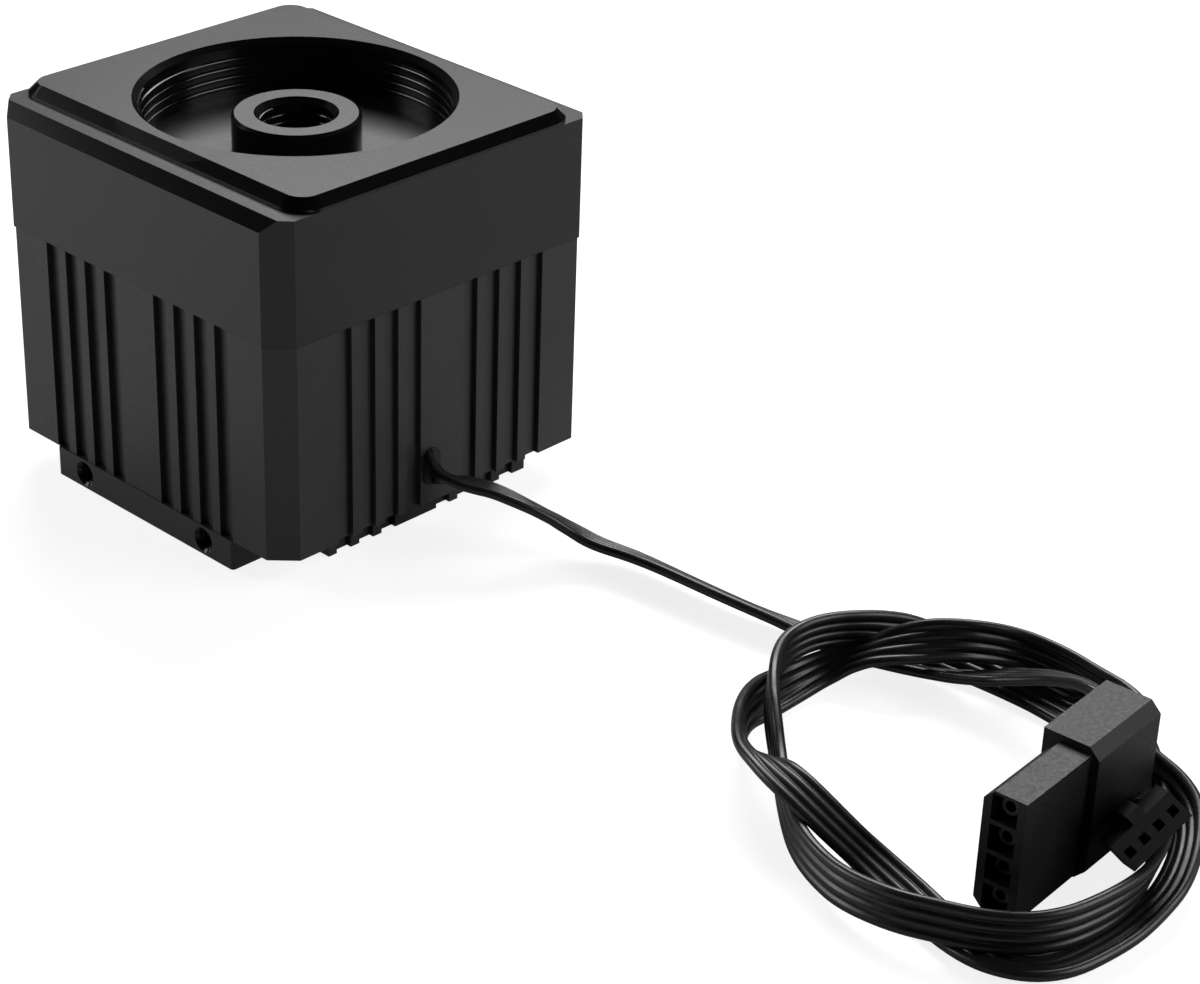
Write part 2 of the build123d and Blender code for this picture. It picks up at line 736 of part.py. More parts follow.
# Power connector: four cells one above the other, with a thicker grip behind
power_origin = Location((*power_at, 0), (0, 0, power_yaw))
power_body_foot = (power_collar_height - power_body_height) / 2
power_cells_z = [power_collar_height / 2 + (i - 1.5) * power_pitch for i in range(4)]
with BuildPart() as power_plug_body:
    with Locations(power_origin):
        with Locations((0, -power_body_length / 2, power_collar_height / 2)):
            Box(power_body_thickness, power_body_length, power_body_height)
    chamfer(power_plug_body.edges().filter_by(lambda e: abs(e.length - power_body_length) < 0.01)
            .group_by(Axis.X)[0], power_corner_cut)
    with Locations(power_origin):
        with Locations(*[(0, -power_body_length + power_cell_depth / 2, z) for z in power_cells_z]):
            Box(power_cell, power_cell_depth, power_cell, mode=Mode.SUBTRACT)

export(power_plug_body.part, "power_plug_body")

with BuildPart() as power_plug_collar:
    with Locations(power_origin):
        with Locations((0, power_collar_length / 2, power_collar_height / 2)):
            Box(power_collar_thickness, power_collar_length, power_collar_height)
    chamfer(power_plug_collar.edges().filter_by(lambda e: abs(e.length - power_collar_length) < 0.01)
            .group_by(Axis.X)[-1], power_corner_cut)

export(power_plug_collar.part, "power_plug_collar")

with BuildPart() as power_plug_contacts:
    with Locations(power_origin):
        with Locations(*[(0, -power_body_length + power_cell_depth / 2 + 0.75, z) for z in power_cells_z]):
            Cylinder(power_contact_radius, power_cell_depth - 1.5, rotation=(90, 0, 0))
            Cylinder(power_contact_bore, power_cell_depth - 1.5, rotation=(90, 0, 0), mode=Mode.SUBTRACT)

export(power_plug_contacts.part, "power_plug_contacts")

# Signal connector: a small four-way housing with a key rib
fan_plane = Plane(origin=fan_face, x_dir=fan_row, z_dir=fan_out)
with BuildPart() as fan_plug_body:
    with BuildSketch(fan_plane):
        Rectangle(fan_row_length, fan_thickness)
        with Locations((0, fan_thickness / 2 + fan_key_height / 2)):
            Rectangle(fan_key_width, fan_key_height)
    extrude(amount=-fan_depth)
    with BuildSketch(fan_plane):
        with GridLocations(fan_pitch, 1, 4, 1):
            Rectangle(fan_hole, fan_hole)
    extrude(amount=-fan_hole_depth, mode=Mode.SUBTRACT)

export(fan_plug_body.part, "fan_plug_body")

with BuildPart() as fan_plug_contacts:
    with BuildSketch(fan_plane.offset(-fan_hole_depth)):
        with GridLocations(fan_pitch, 1, 4, 1):
            Rectangle(fan_hole, fan_hole)
            Rectangle(fan_hole - 0.6, fan_hole - 0.6, mode=Mode.SUBTRACT)
    extrude(amount=fan_hole_depth - 1.0)

export(fan_plug_contacts.part, "fan_plug_contacts")
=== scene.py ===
import math
import bmesh
import bpy
from mathutils import Matrix, Vector


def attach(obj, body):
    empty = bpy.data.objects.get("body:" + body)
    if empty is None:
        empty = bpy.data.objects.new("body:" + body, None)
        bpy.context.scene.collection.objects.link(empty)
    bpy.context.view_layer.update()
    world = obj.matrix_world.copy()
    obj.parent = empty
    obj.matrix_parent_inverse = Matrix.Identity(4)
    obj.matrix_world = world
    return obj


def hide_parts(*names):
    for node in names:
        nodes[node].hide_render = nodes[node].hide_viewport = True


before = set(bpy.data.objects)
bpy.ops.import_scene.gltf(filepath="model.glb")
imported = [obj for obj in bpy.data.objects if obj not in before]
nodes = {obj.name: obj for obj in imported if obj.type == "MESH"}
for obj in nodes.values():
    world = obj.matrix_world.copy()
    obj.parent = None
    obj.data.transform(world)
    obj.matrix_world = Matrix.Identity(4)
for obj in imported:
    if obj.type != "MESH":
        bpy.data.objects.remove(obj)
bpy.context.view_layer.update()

MM = 0.001

# heights and radii in metres that tell the block's faces apart for its finish and for its painted shade
LEDGE_LEVEL = 0.0611
PLATEAU_FOOT = 0.06162
PLATEAU_LEVEL = 0.063
SEAT_WALL_RADIUS = 0.0275
OUTSIDE_SEAT_RADIUS = 0.029
COVER_SEAM = 0.0416

# how far a face's normal points up or down: upright below the first, flat above the second
UPRIGHT = 0.12
LEVEL = 0.97
scene = bpy.context.scene


# Finishes


def start_finish(name, colour, rough, metal=0.0, gloss=0.5, coat=0.0):
    """A new material with its shader's plain values set, and a little kit to add detail with."""
    paint = bpy.data.materials.new(name)
    paint.use_nodes = True
    tree = paint.node_tree
    shader = tree.nodes["Principled BSDF"]
    shader.inputs["Base Color"].default_value = (*colour, 1)
    shader.inputs["Roughness"].default_value = rough
    shader.inputs["Metallic"].default_value = metal
    shader.inputs["Specular IOR Level"].default_value = gloss
    if coat:
        shader.inputs["Coat Weight"].default_value = coat
        shader.inputs["Coat Roughness"].default_value = 0.18
    return paint, tree, shader


def add(tree, kind, **sockets):
    node = tree.nodes.new(kind)
    for name, value in sockets.items():
        node.inputs[name.replace("_", " ")].default_value = value
    return node


def step(tree, sum_kind, first, second=None):
    """One sum on two numbers or sockets."""
    node = tree.nodes.new("ShaderNodeMath")
    node.operation = sum_kind
    for socket, value in zip(node.inputs, (first, second)):
        if isinstance(value, (int, float)):
            socket.default_value = value
        elif value is not None:
            tree.links.new(value, socket)
    return node.outputs[0]


def grain(tree, where, scale, detail=3.0, rough=0.55):
    noise = add(tree, "ShaderNodeTexNoise", Scale=scale, Detail=detail, Roughness=rough)
    tree.links.new(where, noise.inputs["Vector"])
    return noise.outputs["Fac"]


def spread(tree, value, low, high, source=(0.3, 0.7)):
    fit = add(tree, "ShaderNodeMapRange", From_Min=source[0], From_Max=source[1], To_Min=low, To_Max=high)
    tree.links.new(value, fit.inputs["Value"])
    return fit.outputs["Result"]


def tint(tree, value, dark, light):
    mix = tree.nodes.new("ShaderNodeMix")
    mix.data_type = "RGBA"
    mix.inputs["A"].default_value = (*dark, 1)
    mix.inputs["B"].default_value = (*light, 1)
    tree.links.new(value, mix.inputs["Factor"])
    return mix.outputs["Result"]


def relief(tree, shader, height, depth, strength):
    bump = add(tree, "ShaderNodeBump", Strength=strength, Distance=depth)
    tree.links.new(height, bump.inputs["Height"])
    tree.links.new(bump.outputs["Normal"], shader.inputs["Normal"])


def finish(name, colour, rough, patch=0.16, tooth=2600.0, gloss=0.5):
    """A finish with soft blotches of tone, uneven gloss and a fine tooth, all in the object's own space."""
    paint, tree, shader = start_finish(name, colour, rough, gloss=gloss)
    where = tree.nodes.new("ShaderNodeTexCoord").outputs["Object"]
    tone = grain(tree, where, 90.0)
    dark = tuple(c * (1 - patch) for c in colour)
    light = tuple(c * (1 + patch) for c in colour)
    tree.links.new(tint(tree, spread(tree, tone, 0, 1), dark, light), shader.inputs["Base Color"])
    fine = grain(tree, where, tooth, 2.0)
    tree.links.new(spread(tree, fine, rough - 0.06, rough + 0.06), shader.inputs["Roughness"])
    relief(tree, shader, fine, 0.00002, 0.5)
    return paint


def anodised(name, colour, rough, seam=None):
    """Black anodised block: blasted on its flat faces and sides, polished and glossy on chamfers, bores and plateau
    rims, whose colour is also darkened there as painted shade.
    """
    paint, tree, shader = start_finish(name, colour, rough)
    where = tree.nodes.new("ShaderNodeTexCoord").outputs["Object"]
    facing = tree.nodes.new("ShaderNodeSeparateXYZ")
    tree.links.new(tree.nodes.new("ShaderNodeNewGeometry").outputs["True Normal"], facing.inputs["Vector"])
    rise = step(tree, "ABSOLUTE", facing.outputs["Z"])
    bevelled = step(tree, "MULTIPLY", step(tree, "GREATER_THAN", rise, UPRIGHT),
                    step(tree, "LESS_THAN", rise, LEVEL))
    spot = tree.nodes.new("ShaderNodeSeparateXYZ")
    tree.links.new(where, spot.inputs["Vector"])
    flat = tree.nodes.new("ShaderNodeCombineXYZ")
    tree.links.new(spot.outputs["X"], flat.inputs["X"])
    tree.links.new(spot.outputs["Y"], flat.inputs["Y"])
    span = tree.nodes.new("ShaderNodeVectorMath")
    span.operation = "LENGTH"
    tree.links.new(flat.outputs["Vector"], span.inputs[0])
    walls = step(tree, "MULTIPLY", step(tree, "LESS_THAN", span.outputs["Value"], SEAT_WALL_RADIUS),
                 step(tree, "LESS_THAN", rise, UPRIGHT))
    rim = step(tree, "MULTIPLY", step(tree, "GREATER_THAN", spot.outputs["Z"], PLATEAU_FOOT),
               step(tree, "LESS_THAN", rise, UPRIGHT))
    # chamfers, seat walls and plateau rims: glossy, and their colour darkened as painted shade
    glossy_shaded_faces = step(tree, "MAXIMUM", step(tree, "MAXIMUM", bevelled, walls), rim)
    tone = spread(tree, grain(tree, where, 65.0), 0.86, 1.16)
    if seam is not None:
        gap = step(tree, "ABSOLUTE", step(tree, "SUBTRACT", spot.outputs["Z"], seam))
        shade = add(tree, "ShaderNodeMapRange", From_Min=0.00007, From_Max=0.0002, To_Min=0.1, To_Max=1.0)
        tree.links.new(gap, shade.inputs["Value"])
        tone = step(tree, "MULTIPLY", tone, shade.outputs["Result"])
    # painted shade: those faces keep only 0.22 of the block's colour
    shade_mix = tree.nodes.new("ShaderNodeMix")
    tree.links.new(glossy_shaded_faces, shade_mix.inputs["Factor"])
    tree.links.new(tone, shade_mix.inputs["A"])
    shade_mix.inputs["B"].default_value = 0.22
    tree.links.new(tint(tree, shade_mix.outputs["Result"], (0, 0, 0), colour), shader.inputs["Base Color"])
    fine = grain(tree, where, 2300.0, 2.0)
    gloss = tree.nodes.new("ShaderNodeMix")
    tree.links.new(glossy_shaded_faces, gloss.inputs["Factor"])
    tree.links.new(spread(tree, fine, rough - 0.05, rough + 0.06), gloss.inputs["A"])
    gloss.inputs["B"].default_value = 0.16
    tree.links.new(gloss.outputs["Result"], shader.inputs["Roughness"])
    dulled = step(tree, "MULTIPLY", step(tree, "GREATER_THAN", spot.outputs["Z"], LEDGE_LEVEL), 0.24)
    raised = step(tree, "MULTIPLY", step(tree, "GREATER_THAN", spot.outputs["Z"], PLATEAU_LEVEL), 0.10)
    dulled = step(tree, "SUBTRACT", dulled, raised)
    dulled = step(tree, "MULTIPLY", dulled, step(tree, "GREATER_THAN", rise, LEVEL))
    outer = step(tree, "GREATER_THAN", span.outputs["Value"], OUTSIDE_SEAT_RADIUS)
    edges = step(tree, "MULTIPLY", step(tree, "MULTIPLY", bevelled, outer), 0.32)
    dulled = step(tree, "ADD", dulled, edges)
    tree.links.new(step(tree, "SUBTRACT", 0.5, dulled), shader.inputs["Specular IOR Level"])
    tooth = step(tree, "MULTIPLY", fine, step(tree, "SUBTRACT", 1.0, glossy_shaded_faces))
    relief(tree, shader, tooth, 0.00002, 0.45)
    return paint


def drawn_finish(name, colour, rough, along, streak=900.0, **rest):
    """Metal with the fine lines that drawing, rolling or grinding leaves along one direction."""
    paint, tree, shader = start_finish(name, colour, rough, **rest)
    where = tree.nodes.new("ShaderNodeTexCoord").outputs["Object"]
    pull = tree.nodes.new("ShaderNodeMapping")
    pull.inputs["Scale"].default_value = tuple(0.04 if i == along else 1.0 for i in range(3))
    tree.links.new(where, pull.inputs["Vector"])
    lines = grain(tree, pull.outputs["Vector"], streak, 4.0)
    dark = tuple(c * 0.82 for c in colour)
    light = tuple(c * 1.15 for c in colour)
    tree.links.new(tint(tree, spread(tree, lines, 0, 1), dark, light), shader.inputs["Base Color"])
    tree.links.new(spread(tree, lines, rough - 0.07, rough + 0.09), shader.inputs["Roughness"])
    relief(tree, shader, lines, 0.000015, 0.5)
    return paint


def sheathing(name, colour, rough):
    """Extruded cable skin: faint drag lines along its length and a slightly uneven gloss."""
    paint, tree, shader = start_finish(name, colour, rough)
    where = tree.nodes.new("ShaderNodeUVMap")
    where.uv_map = "along"
    pull = tree.nodes.new("ShaderNodeMapping")
    pull.inputs["Scale"].default_value = (60.0, 1800.0, 1.0)
    tree.links.new(where.outputs["UV"], pull.inputs["Vector"])
    lines = grain(tree, pull.outputs["Vector"], 1.0, 3.0)
    light = tuple(c * 1.5 for c in colour)
    tree.links.new(tint(tree, spread(tree, lines, 0, 1), colour, light), shader.inputs["Base Color"])
    scuff = grain(tree, tree.nodes.new("ShaderNodeTexCoord").outputs["Object"], 260.0)
    tree.links.new(spread(tree, scuff, rough - 0.05, rough + 0.09), shader.inputs["Roughness"])
    relief(tree, shader, lines, 0.00003, 0.4)
    return paint


def board_finish(name):
    """Green laminate with copper traces under its lacquer."""
    paint, tree, shader = start_finish(name, (0.015, 0.09, 0.035), 0.35, coat=0.4)
    where = tree.nodes.new("ShaderNodeTexCoord").outputs["Object"]
    bricks = add(tree, "ShaderNodeTexBrick", Scale=240.0)
    bricks.inputs["Mortar Size"].default_value = 0.06
    bricks.inputs["Color1"].default_value = (0.012, 0.08, 0.03, 1)
    bricks.inputs["Color2"].default_value = (0.016, 0.10, 0.04, 1)
    bricks.inputs["Mortar"].default_value = (0.04, 0.2, 0.08, 1)
    tree.links.new(where, bricks.inputs["Vector"])
    tree.links.new(bricks.outputs["Color"], shader.inputs["Base Color"])
    relief(tree, shader, grain(tree, where, 1500.0), 0.00002, 0.4)
    return paint


cover_black = anodised("cover_anodised", (0.014, 0.014, 0.0145), 0.38, seam=COVER_SEAM)
shell_black = anodised("shell_anodised", (0.033, 0.033, 0.0335), 0.44, seam=COVER_SEAM)
rail_black = anodised("rail_anodised", (0.027, 0.027, 0.0275), 0.42)
screw_steel = drawn_finish("screw_steel", (0.42, 0.42, 0.43), 0.32, 2, metal=1.0)
seal_rubber = finish("seal_rubber", (0.02, 0.02, 0.02), 0.62)
inner_plastic = finish("inner_plastic", (0.045, 0.045, 0.048), 0.48)
can_steel = drawn_finish("can_steel", (0.52, 0.52, 0.53), 0.28, 2, metal=1.0)
shaft_ceramic = finish("shaft_ceramic", (0.78, 0.77, 0.74), 0.22, patch=0.04)
bush_carbon = finish("bush_carbon", (0.03, 0.03, 0.032), 0.42, tooth=4000.0)
yoke_iron = drawn_finish("yoke_iron", (0.30, 0.30, 0.31), 0.40, 2, metal=1.0)
magnet_ferrite = finish("magnet_ferrite", (0.06, 0.058, 0.058), 0.52, tooth=3200.0)
impeller_plastic = finish("impeller_plastic", (0.62, 0.62, 0.60), 0.42, patch=0.05)
core_steel = drawn_finish("core_laminations", (0.34, 0.34, 0.36), 0.42, 0, 3000.0, metal=1.0)
coil_copper = drawn_finish("coil_copper", (0.60, 0.24, 0.10), 0.34, 0, 2600.0, metal=1.0)
pad_silicone = finish("thermal_silicone", (0.35, 0.40, 0.46), 0.72)
board_green = board_finish("board_laminate")
chip_resin = finish("chip_resin", (0.02, 0.02, 0.021), 0.50)
capacitor_can = drawn_finish("capacitor_can", (0.62, 0.62, 0.63), 0.26, 2, metal=1.0)
header_plastic = finish("header_plastic", (0.66, 0.64, 0.58), 0.46, patch=0.05)
gland_rubber = finish("gland_rubber", (0.010, 0.010, 0.010), 0.62)
lead_skin = sheathing("lead_pvc", (0.011, 0.011, 0.0115), 0.31)
plug_nylon = finish("plug_nylon", (0.008, 0.008, 0.0085), 0.50, tooth=1700.0, gloss=0.40)
fan_plug_nylon = finish("fan_plug_nylon", (0.028, 0.028, 0.029), 0.46, tooth=1700.0)
# tin contacts given a near-black colour: painted shade for the dark plug cells they sit in
contact_tin = drawn_finish("contact_tin", (0.075, 0.073, 0.07), 0.40, 1, metal=1.0)

finishes = {
    "pump_cover": cover_black, "finned_shell": shell_black, "mounting_rail": rail_black,
    "base_plate": shell_black, "cover_screws": screw_steel, "base_screws": screw_steel,
    "rail_screws": screw_steel, "chamber_seal": seal_rubber, "motor_plate": inner_plastic,
    "separator_can": can_steel, "pivot_shaft": shaft_ceramic, "thrust_washer": shaft_ceramic,
    "rotor_bush": bush_carbon, "rotor_yoke": yoke_iron, "rotor_magnet": magnet_ferrite,
    "impeller": impeller_plastic, "stator_core": core_steel, "stator_insulator": inner_plastic,
    "stator_coils": coil_copper, "thermal_pad": pad_silicone, "control_board": board_green,
    "board_chips": chip_resin, "board_capacitors": capacitor_can, "lead_header": header_plastic,
    "lead_gland": gland_rubber, "lead_tube": lead_skin, "lead_coil": lead_skin,
    "power_tail": lead_skin, "signal_tail": lead_skin, "power_plug_body": plug_nylon,
    "power_plug_collar": plug_nylon, "power_plug_contacts": contact_tin,
    "fan_plug_body": fan_plug_nylon, "fan_plug_contacts": contact_tin,
}
for name, paint in finishes.items():
    for place in nodes[name].material_slots:
        place.material = paint


# Camera

camera = bpy.data.objects.new("camera", bpy.data.cameras.new("camera"))
scene.collection.objects.link(camera)
scene.camera = camera
turn, rise, roll = (math.radians(a) for a in (42.695, 28.700, 2.060))
back = Vector((math.sin(turn) * math.cos(rise), -math.cos(turn) * math.cos(rise), math.sin(rise)))
side = Vector((math.cos(turn), math.sin(turn), 0))
over = back.cross(side)
right = math.cos(roll) * side + math.sin(roll) * over
up = math.cos(roll) * over - math.sin(roll) * side
camera.matrix_world = Matrix((
    (right.x, up.x, back.x, 333.077 * MM),
    (right.y, up.y, back.y, -288.922 * MM),
    (right.z, up.z, back.z, 235.631 * MM),
    (0, 0, 0, 1),
))
camera.data.sensor_fit = "HORIZONTAL"
camera.data.sensor_width = 36
camera.data.lens = 91.11
camera.data.clip_start = 0.02
camera.data.clip_end = 20


# The two flat leads

CONDUCTOR = 0.80
PITCH = 1.65
WEB = 0.35

# Centre line in millimetres, and the lean of the ribbon's width from flat, towards the left of its run.
# Places were followed by hand in the photograph and heights judged by eye. A separate script worked the
# millimetres out of them, and the leans out of the widths seen.
power_lead = [
    (33.1, -2.2, 12.3, 104), (35.0, -2.5, 12.3, 128), (37.2, -3.0, 12.2, 148), (39.2, -2.2, 12.0, 160),
    (41.9, -0.5, 11.6, 163), (43.9, 0.8, 11.2, 160), (47.2, 2.9, 9.8, 158), (49.5, 5.0, 8.2, 160),
    (51.4, 7.1, 6.4, 163), (53.5, 8.9, 4.8, 160), (56.1, 10.2, 3.6, 157), (58.8, 11.3, 3.1, 155),
    (61.9, 12.1, 3.0, 153), (66.6, 12.6, 3.0, 149), (72.4, 12.9, 3.0, 147), (79.4, 13.2, 3.0, 147),
    (85.9, 13.9, 2.8, 147), (92.7, 15.3, 2.4, 152), (101.1, 17.0, 1.5, 170), (109.6, 18.1, 2.15, 156),
    (113.3, 18.8, 2.4, 150), (116.6, 19.8, 3.0, 155), (119.0, 20.2, 3.6, 159), (122.9, 21.0, 4.8, 162),
    (126.6, 22.0, 6.2, 169), (129.8, 22.0, 7.6, 171), (134.0, 21.7, 9.5, 167), (139.1, 20.4, 11.5, 160),
    (143.2, 18.5, 13.0, 147), (148.5, 15.6, 13.4, 118), (151.9, 13.6, 12.6, 98), (153.5, 11.9, 12.0, 90),
]
# The coil's places, heights and leans were set to fit the one view, and aren't measurements. A separate
# script turned them into these millimetres and moved strands apart, so the rows are its numbers.
signal_lead = [
    (148.6, 18.9, 12, 98), (149.1, 19.55, 10.7, 94), (149.78, 19.9, 9.33, 90), (150.4, 17.57, 7.33, 84),
    (154.69, 16.53, 6.43, 78), (159.41, 15.86, 5.58, 70), (163.51, 13.45, 4.69, 62), (166.3, 9.19, 3.84, 52),
    (168.42, 4.34, 3.02, 42), (169.71, -0.35, 2.32, 33), (170.03, -5.07, 1.88, 25), (170.31, -10.75, 1.7, 19),
    (169.7, -15.77, 1.57, 16), (168.77, -21.24, 1.55, 15), (167.01, -24.59, 1.62, 15), (164.4, -26.3, 1.49, 13),
    (160.44, -27.1, 1.27, 8), (155.13, -26.27, 1, 3), (149.89, -24.72, 1.01, 0), (144.92, -23.57, 1.46, 0),
    (138.95, -23.1, 2.83, 0), (133.66, -23.83, 5.41, 0), (127.52, -23.88, 7.89, 0), (123.05, -23.42, 8.87, 3),
    (119.08, -22.05, 8.52, 16), (115.45, -20.71, 7.3, 42), (111.67, -18.21, 5.92, 68), (108.28, -15, 4.96, 80),
    (105.69, -11.69, 4.33, 84), (103.79, -7.88, 3.61, 78), (103.18, -4.89, 3.15, 62), (102.58, -1.5, 2.57, 42),
    (102.02, 3.6, 1.78, 20), (102.6, 8.01, 2.1, 10), (104.25, 11.23, 3.14, 8), (106.86, 13.15, 4.82, 8),
    (109.26, 14.47, 6.29, 12), (111.45, 16.29, 7.15, 26), (113.63, 18.31, 7.81, 46), (116.02, 20.35, 8.28, 64),
    (118.51, 22.61, 8.36, 78), (120.5, 25.49, 7.66, 86), (122.6, 28.2, 6.79, 90), (125.4, 30.14, 6.12, 92),
    (130.73, 31.42, 5.33, 93), (135.89, 31.23, 4.81, 93), (141.15, 31.37, 4.29, 92), (147.12, 28.57, 4, 90),
    (147.67, 25.18, 3.72, 88), (152.01, 21.59, 3.6, 88), (155.7, 17.53, 3.39, 82), (159.54, 12.69, 3.5, 76),
    (163.43, 7.42, 3.86, 72), (166.33, 1.29, 4.36, 72), (168.12, -4.56, 4.77, 78), (168.6, -9.77, 5.12, 86),
    (168.25, -14.41, 5.24, 90), (167.31, -19.16, 5.39, 90), (165.45, -22.92, 5.46, 90), (163.27, -25.3, 5.44, 90),
    (159.46, -28.09, 5.42, 90), (155.01, -30.21, 5.5, 90), (150.24, -31.94, 5.19, 90), (144.76, -32.28, 4.59, 90),
    (140.16, -31.73, 4, 90), (136.46, -30.48, 3.52, 90), (132.35, -28.84, 3.34, 90), (128.27, -26.49, 3.33, 90),
    (124.63, -23.58, 3.34, 90), (120.58, -19.88, 3.32, 90), (117.02, -16.41, 3.52, 90), (114.22, -13.91, 4.4, 91),
    (111.72, -11.71, 5.59, 93), (108.72, -8.91, 6.68, 94), (105.73, -5.5, 7.18, 94), (102.94, -1.59, 7.19, 94),
    (100.81, 2.52, 7.06, 95), (100.22, 6.54, 6.99, 98), (100.64, 10.06, 7.02, 101), (101.89, 13.79, 6.74, 103),
    (103.68, 16.93, 6.36, 102), (105.38, 20.26, 5.38, 94), (107.6, 23.12, 4.22, 74), (110.53, 24.71, 3.36, 50),
    (115.35, 26, 2.51, 30), (121.57, 27.2, 1.72, 16), (127.38, 27.62, 1.4, 12), (130.58, 27.56, 1.38, 12),
    (136.38, 26.67, 1.86, 22), (142.19, 25.3, 2.59, 40), (149.64, 21.17, 3.48, 76), (155.4, 15.21, 3.9, 94),
    (159.4, 8.9, 4.9, 100), (159.87, 5.58, 6.06, 98), (162.25, 3, 7.98, 96),
]


def ribbon_section():
    """The outline of four joined conductors, as pairs across the width and through the thickness."""
    reach = math.degrees(math.asin(WEB / CONDUCTOR))
    outline = []
    for face in (1, -1):
        for wire in (3, 2, 1, 0) if face == 1 else (0, 1, 2, 3):
            middle = (wire - 1.5) * PITCH
            first = 0 if (face == 1 and wire == 3) or (face == -1 and wire == 0) else reach
            last = 180 - reach
            if (face == 1 and wire == 0) or (face == -1 and wire == 3):
                last = 160
            for i in range(8):
                angle = math.radians(first + (last - first) * i / 7)
                outline.append((middle + face * CONDUCTOR * math.cos(angle), face * CONDUCTOR * math.sin(angle)))
    return outline


def run_of(name, rows, steps):
    """The points of the lead's smooth line, and the lean at each."""
    curve = bpy.data.curves.new(name, "CURVE")
    curve.dimensions = "3D"
    curve.resolution_u = steps
    spline = curve.splines.new("NURBS")
    spline.points.add(len(rows) - 1)
    for point, (x, y, z, lean) in zip(spline.points, rows):
        point.co = (x * MM, y * MM, z * MM, 1)
    spline.order_u = 3
    spline.use_endpoint_u = True
    spline.resolution_u = steps
    holder = bpy.data.objects.new(name, curve)
    scene.collection.objects.link(holder)
    mesh = bpy.data.meshes.new_from_object(holder)
    points = [v.co.copy() for v in mesh.vertices]
    bpy.data.objects.remove(holder)
    bpy.data.meshes.remove(mesh)
    spans = len(rows) - 2
    stations = [0.0] + [i + 0.5 for i in range(spans)] + [float(spans)]
    leans = []
    for i in range(len(points)):
        t = i * spans / (len(points) - 1)
        j = min(max(0, int(t + 0.5)), len(rows) - 2)
        share = (t - stations[j]) / (stations[j + 1] - stations[j])
        leans.append(math.radians(rows[j][3] + (rows[j + 1][3] - rows[j][3]) * min(max(share, 0), 1)))
    for _ in range(steps):
        leans = [leans[0]] + [sum(leans[i - 1:i + 2]) / 3 for i in range(1, len(leans) - 1)] + [leans[-1]]
    return points, leans


def flat_lead(name, rows, steps):
    points, leans = run_of(name, rows, steps)
    section = ribbon_section()
    count = len(section)
    verts, along, walked = [], [], 0.0
    for i, (point, lean) in enumerate(zip(points, leans)):
        ahead = points[min(i + 1, len(points) - 1)] - points[max(i - 1, 0)]
        ahead.normalize()
        left = Vector((0, 0, 1)).cross(ahead).normalized()
        wide = math.cos(lean) * left + math.sin(lean) * ahead.cross(left)
        thick = ahead.cross(wide)
        if i:
            walked += (point - points[i - 1]).length
        along.append(walked)
        verts.extend(point + MM * (a * wide + b * thick) for a, b in section)
    faces = []
    for i in range(len(points) - 1):
        for j in range(count):
            k = (j + 1) % count
            faces.append((i * count + j, i * count + k, (i + 1) * count + k, (i + 1) * count + j))
    faces.append(tuple(reversed(range(count))))
    faces.append(tuple((len(points) - 1) * count + j for j in range(count)))
    mesh = bpy.data.meshes.new(name)
    mesh.from_pydata(verts, [], faces)
    skin = mesh.uv_layers.new(name="along")
    for face in mesh.polygons:
        for corner in face.loop_indices:
            vert = mesh.loops[corner].vertex_index
            j = vert % count
            if j == 0 and any(mesh.loops[c].vertex_index % count == count - 1 for c in face.loop_indices):
                j = count
            skin.data[corner].uv = (along[vert // count], j * 0.018 / count)
        face.use_smooth = len(face.vertices) == 4
    tidy = bmesh.new()
    tidy.from_mesh(mesh)
    bmesh.ops.recalc_face_normals(tidy, faces=tidy.faces)
    tidy.to_mesh(mesh)
    tidy.free()
    mesh.materials.append(lead_skin)
    piece = bpy.data.objects.new(name, mesh)
    scene.collection.objects.link(piece)
    return piece, points


power_ribbon, power_line = flat_lead("power_ribbon", power_lead, 6)
signal_ribbon, signal_line = flat_lead("signal_ribbon", signal_lead, 4)
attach(power_ribbon, "pump")
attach(signal_ribbon, "pump")
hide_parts("lead_tube", "power_tail")
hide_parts("lead_coil", "signal_tail")


# Screw threads, grown by one tree of nodes


